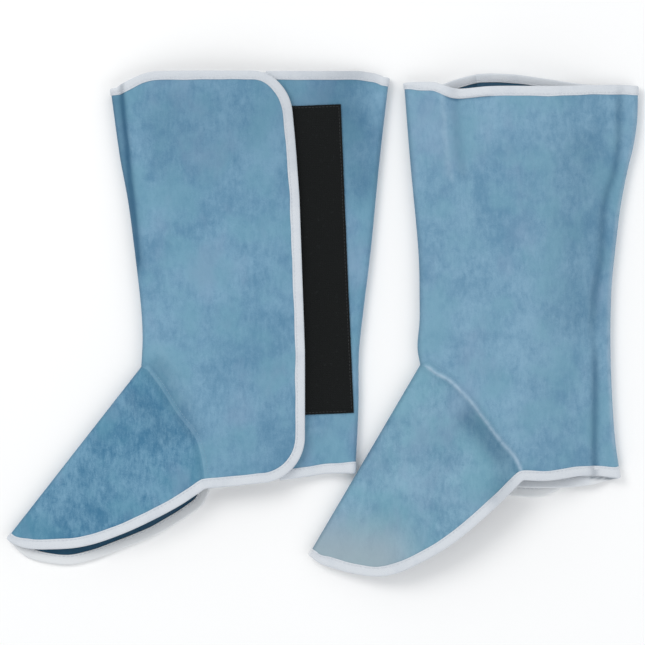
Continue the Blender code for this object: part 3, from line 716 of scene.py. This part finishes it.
def shade_and_stain_amounts(stains, flat, near):
    """How dark and how light each point of the plan is made: painted shade, painted highlights and broad
    darker patches.
    """
    dark, light = np.zeros(len(flat)), np.zeros(len(flat))
    for strength, width, line in stains:
        gap, share = nearest(flat, line)
        mark_level = strength * faded(share, 0.15) * bell(gap, width)
        mark_level *= near | (strength > 1)
        dark += np.maximum(mark_level, 0)
        light += np.maximum(-mark_level, 0)
    return dark, light


def folded_tape(name, spat, chain, reach, tree, stains, material):
    """Tape folded over the whole chain of edges, its border drawn in a little at each stitch."""
    p, inward, normal, where = chain
    sections = np.array([tape_section(r) for r in reach])
    off = onto_leather(tree, p, inward, normal, sections[..., 0])
    wave = np.cos(2 * pi * where / STITCH_PITCH)
    middle = reach[:, None] - STITCH_INSET
    at_stitch = bell(sections[..., 0] - middle, 1.1) * (np.abs(sections[..., 1]) > 1.0)
    sections[..., 1] -= np.sign(sections[..., 1]) * 0.09 * (1 + wave[:, None]) * at_stitch
    uneven = np.array([noise.noise(Vector((s / 21.0, spat.seed, 0.0))) for s in where])
    border = smooth((sections[..., 0] - 3.0) / 4.0)
    sections[..., 0] += 0.55 * uneven[:, None] * border
    rings = (p[:, None] + inward[:, None] * sections[..., :1]
             + normal[:, None] * (sections[..., 1:] + off[..., None]))
    count, sides = rings.shape[:2]
    i, k = np.meshgrid(np.arange(count - 1), np.arange(sides), indexing="ij")
    here, beside = (i * sides + k).ravel(), (i * sides + (k + 1) % sides).ravel()
    faces = np.column_stack([here, beside, beside + sides, here + sides]).tolist()
    half = sides // 2
    for end in (0, (count - 1) * sides):
        ring = [end + k for k in range(sides)]
        faces += [[ring[k], ring[k + 1], ring[sides - 4 - k], ring[sides - 3 - k]]
                  for k in range(half - 2)]
    across = path_lengths(sections[0])
    uv = np.stack([np.repeat(where, sides), np.tile(across, count)], axis=1) * MM
    flat, height = rings[..., :2].reshape(-1, 2), rings[..., 2].ravel()
    # painted shade on the tape: from the shade table on the upper layer, and a painted shadow in the hem's
    # gap on both layers
    dark = shade_and_stain_amounts(stains, flat, height > UPPER_TAPE[spat.closure_up])[0]
    # painted light on the lower hem's tape, which lies in shade under the upper layer
    lit_lower_hem = ((1 - smooth((height - UPPER_HEM[spat.closure_up]) / 2))
                 * smooth((60 - flat[:, 1]) / 20))
    marks = {"painted_shade_and_patches": np.clip(0.8 * dark, 0, 0.8), "clean": lit_lower_hem}
    return piece(name, place(spat, rings), faces, material, uv, marks, angle=1.2)


def stitch_points(points, along_line, normal, radius, length):
    """Points of one short raised thread for each point: a bent capsule of six six-sided rings."""
    side = np.cross(normal, along_line)
    stations = ((-0.5, 0.25, -0.35), (-0.42, 0.8, -0.05), (-0.2, 1.0, 0.12), (0.2, 1.0, 0.12),
                (0.42, 0.8, -0.05), (0.5, 0.25, -0.35))
    rings = []
    for t, swell, lift in stations:
        for k in range(6):
            turn = 2 * pi * k / 6
            round_it = side * cos(turn) * radius * swell
            off = round_it + normal * (sin(turn) * radius * swell + lift * radius * 2)
            rings.append(points + along_line * t * length + off)
    return np.stack(rings, axis=1)


def stitches(name, spat, rows, material):
    """All the stitches of one thread: rows of (points, direction, normal, radius, length)."""
    capsule = [[a * 6 + k, a * 6 + (k + 1) % 6, (a + 1) * 6 + (k + 1) % 6, (a + 1) * 6 + k]
               for a in range(5) for k in range(6)]
    capsule += [list(range(5, -1, -1)), list(range(30, 36))]
    points = np.concatenate([stitch_points(*row) for row in rows])
    faces = [[36 * i + k for k in face] for i in range(len(points)) for face in capsule]
    return piece(name, place(spat, points), faces, material, angle=1.4)


def tape_grid(ends):
    """Grid of a straight closure tape in plan, from its two end centres."""
    top, bottom = np.array(ends, float)
    rows, columns = TAPE_POINTS
    run = unit(top - bottom)
    side = np.array([run[1], -run[0]])
    middle = bottom + np.linspace(0, 1, rows)[:, None] * (top - bottom)
    return middle[:, None] + np.linspace(-0.5, 0.5, columns)[None, :, None] * TAPE_WIDTH * side


def closure_tape(name, spat, ends, height, offset, thickness, material):
    """Flat tape with eased borders on a panel's surface; also its outer stitch line and side."""
    grid = lifted(tape_grid(ends), height)
    normal = surface_normals(grid)
    normal *= np.sign(normal[..., 2])[..., None]
    rows, columns = TAPE_POINTS
    row, column = np.arange(rows), np.arange(columns)
    from_side = np.minimum(column, column[::-1])[None, :] * TAPE_WIDTH / columns
    from_end = np.minimum(row, row[::-1])[:, None] * TAPE_LENGTH / rows
    edge = np.minimum(from_side, from_end)
    sign = np.sign(offset)
    sewn = -0.35 * bell(edge - TAPE_STITCH_INSET, 1.0) - 0.25 * bell(edge, 0.7)
    grid = grid + normal * (offset + sign * sewn)[..., None]
    made = shell(name, spat, grid, thickness, material)
    step = max(int(TAPE_STITCH_INSET / (TAPE_WIDTH / columns)), 1)
    row_step = max(int(TAPE_STITCH_INSET / (TAPE_LENGTH / rows)), 1)
    outer = grid + normal * sign * thickness / 2
    ring = np.vstack([outer[row_step:-row_step, step], outer[-1 - row_step, step:-step],
                      outer[row_step:-row_step, -1 - step][::-1], outer[row_step, step:-step][::-1]])
    return made, ring, np.array([0.0, 0.0, sign])


def thread_row(line, normals, pitch, radius, length):
    """Even stitches along a 3-D line."""
    lengths = path_lengths(line)
    where = np.arange(pitch, lengths[-1] - pitch, pitch)
    ahead = at_lengths(line, lengths, where + 0.4) - at_lengths(line, lengths, where - 0.4)
    return (at_lengths(line, lengths, where), unit(ahead),
            unit(at_lengths(normals, lengths, where)), radius, length)


def seam_stitch_rows(form, tree):
    """A row of stitches on each face's leg panel, beside the seam."""
    rows = []
    for side, start, down in (("near", 90.0, -1.0), ("far", -30.0, 1.0)):
        seam = along(form.seam_points(side), np.linspace(0.05, 0.93, 90))
        away = left_of(seam)
        if (away @ (np.array(LEG_SIDE) - seam.mean(0))).mean() < 0:
            away = -away
        hits = [tree.ray_cast(Vector((x, y, start)), Vector((0, 0, down)))
                for x, y in seam + away * SEAM_STITCH_OFF]
        points = np.array([hit[0] for hit in hits])
        normals = np.array([-hit[1] if hit[1].z * down > 0 else hit[1] for hit in hits])
        rows.append(thread_row(points + normals * (LEATHER / 2 - 0.08), normals, *SEAM_STITCH))
    return rows


# ---- materials

class Material:
    """A new material, with short helpers for its nodes."""

    def __init__(self, name):
        self.made = bpy.data.materials.new(name)
        self.made.use_nodes = True
        self.tree = self.made.node_tree
        coordinates = self.tree.nodes.new("ShaderNodeTexCoord")
        self.object, self.uv = coordinates.outputs["Object"], coordinates.outputs["UV"]

    def feed(self, node, inputs):
        """Link each input of a node to another node's output, or set it to a constant."""
        for key, value in inputs.items():
            socket = node.inputs[key]
            if isinstance(value, bpy.types.NodeSocket):
                self.tree.links.new(value, socket)
            elif value is not None:
                socket.default_value = (*value, 1.0) if socket.type == "RGBA" else value

    def node(self, kind, output, inputs, **settings):
        """One output of a new node with these settings and inputs."""
        node = self.tree.nodes.new("ShaderNode" + kind)
        for name, value in settings.items():
            setattr(node, name, value)
        self.feed(node, inputs)
        return node.outputs[output]

    def scaled(self, source, scale, rotation):
        return self.node("Mapping", "Vector", {"Vector": source, "Scale": scale,
                                               "Rotation": (0.0, 0.0, rotation)})

    def noise(self, source, scale, detail=3.0, rough=0.55, distort=0.0):
        return self.node("TexNoise", "Fac", {"Vector": source, "Scale": scale, "Detail": detail,
                                             "Roughness": rough, "Distortion": distort})

    def mark(self, name):
        return self.node("Attribute", "Fac", {}, attribute_name=name)

    def math(self, kind, a, b, c=0.0):
        return self.node("Math", 0, {0: a, 1: b, 2: c}, operation=kind)

    def ramp(self, value, low, high, out_low=0.0, out_high=1.0):
        return self.node("MapRange", "Result",
                         {"Value": value, "From Min": low, "From Max": high, "To Min": out_low,
                          "To Max": out_high}, interpolation_type="SMOOTHSTEP")

    def mix(self, factor, a, b):
        return self.node("Mix", 2, {0: factor, 6: a, 7: b}, data_type="RGBA")

    def bump(self, height, distance, strength, normal=None):
        return self.node("Bump", "Normal", {"Height": height, "Distance": distance,
                                            "Strength": strength, "Normal": normal})

    def shaded(self, inputs):
        """The finished material, with these inputs on its shader."""
        self.feed(self.tree.nodes["Principled BSDF"], inputs)
        return self.made


def suede(name, dark, light, teal, fibre, grey=0.0):
    """Split leather: cloudy dye, short nap brushed in patches, edges lighter from wearing and a painted
    highlight, painted shade from the marks and on the inner face.
    """
    m = Material(name)
    cloud = m.noise(m.object, 17.0, 4.0, 0.6, 0.4)
    patchy = m.noise(m.object, 62.0, 3.0, 0.6)
    brushed = m.noise(m.scaled(m.object, (1.0, 0.3, 1.0), 0.25), 330.0, 3.0, 0.65)
    nap = m.noise(m.object, 1150.0, 2.0, 0.6)
    blotch = m.noise(m.scaled(m.object, (1.0, 0.7, 1.0), 0.5), 150.0, 4.0, 0.6, 0.6)
    tone = m.math("MULTIPLY_ADD", cloud, 0.9, 0.05)
    for pattern, amount, drop in ((patchy, 0.55, 0.28), (blotch, fibre, fibre / 2),
                                  (brushed, fibre, fibre / 2), (nap, 0.5, 0.25)):
        tone = m.math("MULTIPLY_ADD", pattern, amount, m.math("SUBTRACT", tone, drop))
    colour = m.mix(m.ramp(tone, 0.15, 0.85), dark, light)
    colour = m.mix(m.ramp(m.noise(m.object, 31.0, 2.0, 0.5), 0.42, 0.68, 0.0, 0.55), colour, teal)
    dusty = m.noise(m.scaled(m.object, (1.0, 0.6, 1.0), 0.3), 24.0, 3.0, 0.55)
    colour = m.mix(m.ramp(dusty, 0.50, 0.72, 0.0, 0.4), colour, (0.215, 0.320, 0.465))
    if grey:
        colour = m.mix(m.math("MULTIPLY", m.mark("faded"), grey), colour, (0.34, 0.42, 0.46))
    # lighter from wearing of the nap and from painted highlights on ridges and folds
    rubbed_and_highlit = m.math("MULTIPLY", m.mark("wear_and_painted_highlight"), m.ramp(blotch, 0.3, 0.62, 0.55, 1.15))
    colour = m.mix(rubbed_and_highlit, colour, (0.36, 0.50, 0.62))
    # Painted shade in deep navy: creases, folds, gaps and beside the seam, with broad darker patches
    colour = m.mix(m.mark("painted_shade_and_patches"), colour, (0.018, 0.085, 0.165))
    # painted shade: the inner face darkened to a deep navy
    colour = m.mix(m.math("MULTIPLY", m.mark("painted_inside_shade"), 0.85), colour, (0.014, 0.055, 0.105))
    coarse = m.bump(m.math("ADD", m.math("MULTIPLY", patchy, 1.2), brushed), 0.0011, 0.5)
    return m.shaded({"Base Color": colour, "Roughness": m.ramp(nap, 0.3, 0.7, 0.82, 0.98),
                     "Specular IOR Level": 0.18, "Sheen Weight": 0.22, "Sheen Roughness": 0.45,
                     "Sheen Tint": (0.62, 0.74, 0.85), "Normal": m.bump(nap, 0.0003, 0.6, coarse)})


def woven_tape(name):
    """White binding tape: fine ribs across it, a little soiling, painted shade from the marks and painted
    light on the lower layer's tape.
    """
    m = Material(name)
    ribs = m.node("TexWave", "Fac", {"Vector": m.uv, "Scale": 760.0, "Distortion": 1.6, "Detail": 1.0},
                  bands_direction="DIAGONAL")
    soil = m.ramp(m.noise(m.object, 55.0, 4.0, 0.6), 0.45, 0.75, 0.0, 0.35)
    colour = m.mix(m.ramp(ribs, 0.0, 1.0), (0.60, 0.64, 0.70), (0.76, 0.79, 0.82))
    colour = m.mix(soil, colour, (0.52, 0.57, 0.64))
    # painted light on the lower layer's tape
    colour = m.mix(m.mark("clean"), colour, (0.78, 0.80, 0.82))
    # painted shade and painted shadow on the tape, darkened toward a grey blue
    colour = m.mix(m.mark("painted_shade_and_patches"), colour, (0.16, 0.20, 0.25))
    return m.shaded({"Base Color": colour, "Roughness": 0.78, "Specular IOR Level": 0.3,
                     "Sheen Weight": 0.15, "Normal": m.bump(ribs, 0.00012, 0.7)})


def hook_tape(name):
    """Black hook tape: rows of tiny moulded hooks, with a little lint."""
    m = Material(name)
    cells = m.node("TexVoronoi", "Distance", {"Vector": m.uv, "Scale": 620.0, "Randomness": 0.35})
    hooks = m.ramp(cells, 0.1, 0.5, 1.0, 0.0)
    lint = m.ramp(m.noise(m.object, 260.0, 3.0, 0.7), 0.60, 0.74)
    colour = m.mix(hooks, (0.0035, 0.0045, 0.0045), (0.0095, 0.0115, 0.0115))
    colour = m.mix(m.math("MULTIPLY", lint, 0.25), colour, (0.028, 0.034, 0.036))
    return m.shaded({"Base Color": colour, "Roughness": 0.7, "Specular IOR Level": 0.16,
                     "Normal": m.bump(hooks, 0.0006, 0.8)})


def loop_tape(name):
    """Black loop tape: a short tangled pile."""
    m = Material(name)
    pile = m.noise(m.object, 900.0, 4.0, 0.75, 2.0)
    colour = m.mix(m.ramp(pile, 0.35, 0.7), (0.007, 0.008, 0.009), (0.028, 0.030, 0.032))
    return m.shaded({"Base Color": colour, "Roughness": 0.95, "Sheen Weight": 0.3,
                     "Normal": m.bump(pile, 0.0007, 0.9)})


def thread(name, dark, light):
    """Twisted sewing thread."""
    m = Material(name)
    twist = m.noise(m.scaled(m.object, (1.0, 1.0, 1.0), 0.7), 2400.0, 1.0, 0.5)
    return m.shaded({"Base Color": m.mix(m.ramp(twist, 0.35, 0.65), dark, light),
                     "Roughness": 0.7, "Normal": m.bump(twist, 0.0001, 0.6)})


SUEDE = {
    "left_leg_panel": suede("split_leather_blue_left", (0.105, 0.240, 0.370), (0.215, 0.385, 0.525),
                            (0.142, 0.322, 0.425), 0.42),
    "left_vamp": suede("split_leather_blue_left_vamp", (0.055, 0.180, 0.305), (0.180, 0.350, 0.490),
                       (0.100, 0.275, 0.385), 0.6),
    "right_leg_panel": suede("split_leather_blue_right", (0.118, 0.255, 0.385), (0.232, 0.400, 0.535),
                             (0.158, 0.338, 0.440), 0.42),
    "right_vamp": suede("split_leather_blue_right_vamp", (0.115, 0.255, 0.375), (0.245, 0.420, 0.545),
                        (0.155, 0.350, 0.440), 0.5, 0.8),
}
TAPE = woven_tape("binding_tape_white")
HOOK = hook_tape("hook_tape_black")
LOOP = loop_tape("loop_tape_black")
WHITE_THREAD = thread("binding_thread", (0.52, 0.56, 0.62), (0.76, 0.78, 0.82))
BLUE_THREAD = thread("seam_thread", (0.13, 0.25, 0.36), (0.26, 0.42, 0.55))
BLACK_THREAD = thread("tape_thread", (0.010, 0.011, 0.012), (0.045, 0.048, 0.05))


# ---- the pieces of one spat

def seam_marks(form, grid, leg_side):
    """Raise the leather at the seam, and say where it is lighter, from wearing and a painted highlight on
    the ridge, and where painted shade darkens it.
    """
    rise, wear_and_highlight = form.spat.seam_rise, form.spat.seam_wear
    rows, columns = grid.shape[:2]
    flat = grid[..., :2].reshape(-1, 2)
    wear_and_painted_highlight = np.zeros(len(flat))
    painted_shade_and_patches = np.zeros(len(flat))
    for side in ("near", "far"):
        seam = form.seam_points(side)
        gap, share = nearest(flat, seam)
        upper = (grid[..., 2].reshape(-1) > UPPER_SEAM) == (side == "near")
        gap = np.where(upper, gap, 1e3)
        ends = (smooth(share / 0.05) * 0.7 + 0.3) * smooth((1.03 - share) / 0.10)
        # the lighter band is partly wearing of the nap and partly a painted highlight; the darker bands are
        # painted shade beside the seam
        if leg_side:
            lift = rise * bell(gap - 1.1, 1.9) * ends
            wear_and_painted_highlight += wear_and_highlight * bell(gap - 0.7, 1.5)
            painted_shade_and_patches += 0.12 * bell(gap - 4.6, 1.6) * (1 - share)
        else:
            ridge = 0.75 * bell(gap, 1.3) - 0.3 * bell(gap - 3.0, 1.6)
            lift = rise * ridge * ends
            wear_and_painted_highlight += 0.8 * wear_and_highlight * bell(gap, 1.0)
            painted_shade_and_patches += 0.10 * bell(gap - 3.2, 2.2) + 0.06 * bell(gap, 9.0)
        if side == "far":
            lift = np.maximum(lift, 0)
        grid[..., 2] += lift.reshape(rows, columns)
    return wear_and_painted_highlight, painted_shade_and_patches


def build_spat(spat):
    """Everything that is seen of one spat: its pieces by what they are."""
    form = Form(spat)
    leg, vamp = form.leg(), form.vamp()
    vamp[:, 0], vamp[:, -1] = vamp[0, 0], vamp[0, -1]
    made = {}

    def keep(name, new, slot, *replaced):
        """Keep a piece, with its body and the nodes that it stands for; its slot is not used."""
        made[name] = new
        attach(new, "root")
        if replaced:
            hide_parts(*replaced)

    def sew(kind, rows, colour, slot):
        keep(f"{kind}_stitches", stitches(f"{spat.name}_{kind}_stitches", spat, rows, colour), slot)

    for name, grid, leg_side in (("leg_panel", leg, True), ("vamp", vamp, False)):
        wear_and_painted_highlight, painted_shade_and_patches = seam_marks(form, grid, leg_side)
        flat, height = grid[..., :2].reshape(-1, 2), grid[..., 2].reshape(-1)
        # Painted shade and painted highlights from the shade table, with its broad darker patches
        dark, light = shade_and_stain_amounts(form.stains, flat, height > UPPER_LEATHER[spat.closure_up])
        fold = distance_to(flat, form.front_line)
        # painted shade along the front fold's edge
        painted_shade_and_patches = painted_shade_and_patches + dark + FOLD_PAINTED_SHADE * bell(fold, 1.6)
        marks = {"wear_and_painted_highlight": np.clip(wear_and_painted_highlight + light, 0, 1), "painted_shade_and_patches": np.clip(painted_shade_and_patches, 0, 0.8)}
        if name == "vamp":
            toe = distance_to(flat, np.array([form.toe, form.toe + [-60.0, -8.0]]))
            marks["faded"] = 1 - smooth(toe / 60.0)
        full_name = f"{spat.name}_{name}"
        sign = surface_normals(grid)[grid.shape[0] // 2, SEAM_STEPS // 2, 2]
        outer_low = (sign > 0) != (spat.closure_up or not leg_side)
        skin = shell(full_name + "_skin", spat, grid, LEATHER, SUEDE[full_name], marks, outer_low)
        keep(name, skin, "split_leather_blue", full_name)

    p, inward, normal, where = even_chain(*chain_of(form, leg, vamp))
    if ((leg[leg.shape[0] // 2].mean(0) - p) * inward).sum() < 0:
        inward = -inward
    from_heel, from_toe, from_corner = (norm(p[:, :2] - place, axis=1)
                                        for place in ((0, 0), form.toe, form.front_line[0]))
    reach = TOE_TAPE_REACH + (TAPE_REACH - TOE_TAPE_REACH) * smooth((from_toe - 4) / 16.0)
    reach -= TOP_CURL * smooth((p[:, 1] - 350) / 12)
    reach += HEEL_SPREAD * bell(from_heel, 12)
    reach -= CORNER_CURL * bell(from_corner, 11)
    tree = middle_tree((leg, vamp))
    binding = folded_tape(spat.name + "_edge_binding", spat, (p, inward, normal, where), reach, tree,
                          form.stains, TAPE)
    keep("binding", binding, "binding_tape_white",
         *(f"{spat.name}_{edge}_binding" for edge in ("top", "flap", "vamp", "heel")))

    surface = LEATHER / 2 + TAPE_GAP + TAPE_WALL - 0.05
    depth = (reach - STITCH_INSET)[:, None]
    off = onto_leather(tree, p, inward, normal, depth)
    rows = [thread_row(p + inward * depth + normal * (surface * face + off), normal * face,
                       *BINDING_STITCH) for face in (1, -1)]
    sew("binding", rows, WHITE_THREAD, "binding_tape_white")
    sew("seam", seam_stitch_rows(form, tree), BLUE_THREAD, "split_leather_blue")

    heights = np.array(TAPE_HEIGHTS)
    loop_middle = form.flap_at(heights) + LOOP_INSET + TAPE_WIDTH / 2
    rows = []
    for kind, ends, height, side, thick, material in (
            ("hook", spat.hook, form.under_height, form.side, HOOK_THICK, HOOK),
            ("loop", list(zip(loop_middle, heights)), form.flap_height, -form.side, LOOP_THICK, LOOP)):
        strip, ring, out = closure_tape(f"{spat.name}_{kind}_strip", spat, ends, height,
                                        side * (LEATHER / 2 + 0.1 + thick / 2), thick, material)
        keep(kind, strip, f"{kind}_tape_black", f"{spat.name}_{kind}_tape")
        rows.append(thread_row(ring, np.tile(out, (len(ring), 1)), *TAPE_STITCH))
    sew("tape", rows, BLACK_THREAD, "hook_tape_black")
    return made


def studio():
    """Pale floor, soft light and the camera straight above."""
    link = bpy.context.scene.collection.objects.link
    mesh = bpy.data.meshes.new("floor")
    mesh.from_pydata([(-6, -6, 0), (6, -6, 0), (6, 6, 0), (-6, 6, 0)], [], [(0, 1, 2, 3)])
    floor = bpy.data.objects.new("floor", mesh)
    link(floor)
    m = Material("floor_paper")
    tone = m.mix(m.ramp(m.noise(m.object, 2.0, 2.0), 0.3, 0.7), (0.96, 0.96, 0.96),
                 (0.975, 0.975, 0.975))
    mesh.materials.append(m.shaded({"Base Color": tone, "Roughness": 0.95,
                                    "Specular IOR Level": 0.1}))

    world = bpy.data.worlds.new("studio")
    world.use_nodes = True
    background = world.node_tree.nodes["Background"]
    background.inputs["Color"].default_value = (0.97, 0.985, 1.0, 1.0)
    background.inputs["Strength"].default_value = 0.72
    bpy.context.scene.world = world

    for name, position, size, energy, colour in (
            ("key", (-1.5, 1.3, 2.3), 1.6, 31.0, (1.0, 0.985, 0.96)),
            ("fill", (1.8, -0.9, 2.0), 2.2, 12.5, (0.96, 0.98, 1.0))):
        lamp = bpy.data.lights.new(name, "AREA")
        lamp.shape, lamp.size, lamp.energy, lamp.color = "DISK", size, energy, colour
        lit = bpy.data.objects.new(name, lamp)
        lit.location = position
        lit.rotation_euler = (-Vector(position)).to_track_quat("-Z", "Y").to_euler()
        link(lit)

    lens = bpy.data.cameras.new("camera")
    lens.lens, lens.sensor_width = 250.0, 36.0
    camera = bpy.data.objects.new("camera", lens)
    view_width = 0.587                        # of the plane at 12 mm, in metres
    camera.location = (0.0002, 0.0011, 0.012 + lens.lens * view_width / lens.sensor_width)
    link(camera)
    bpy.context.scene.camera = camera
    bpy.context.scene.view_settings.view_transform = "Standard"
    bpy.context.scene.view_settings.look = "None"


studio()
for each_spat in (LEFT, RIGHT):
    pieces = build_spat(each_spat)
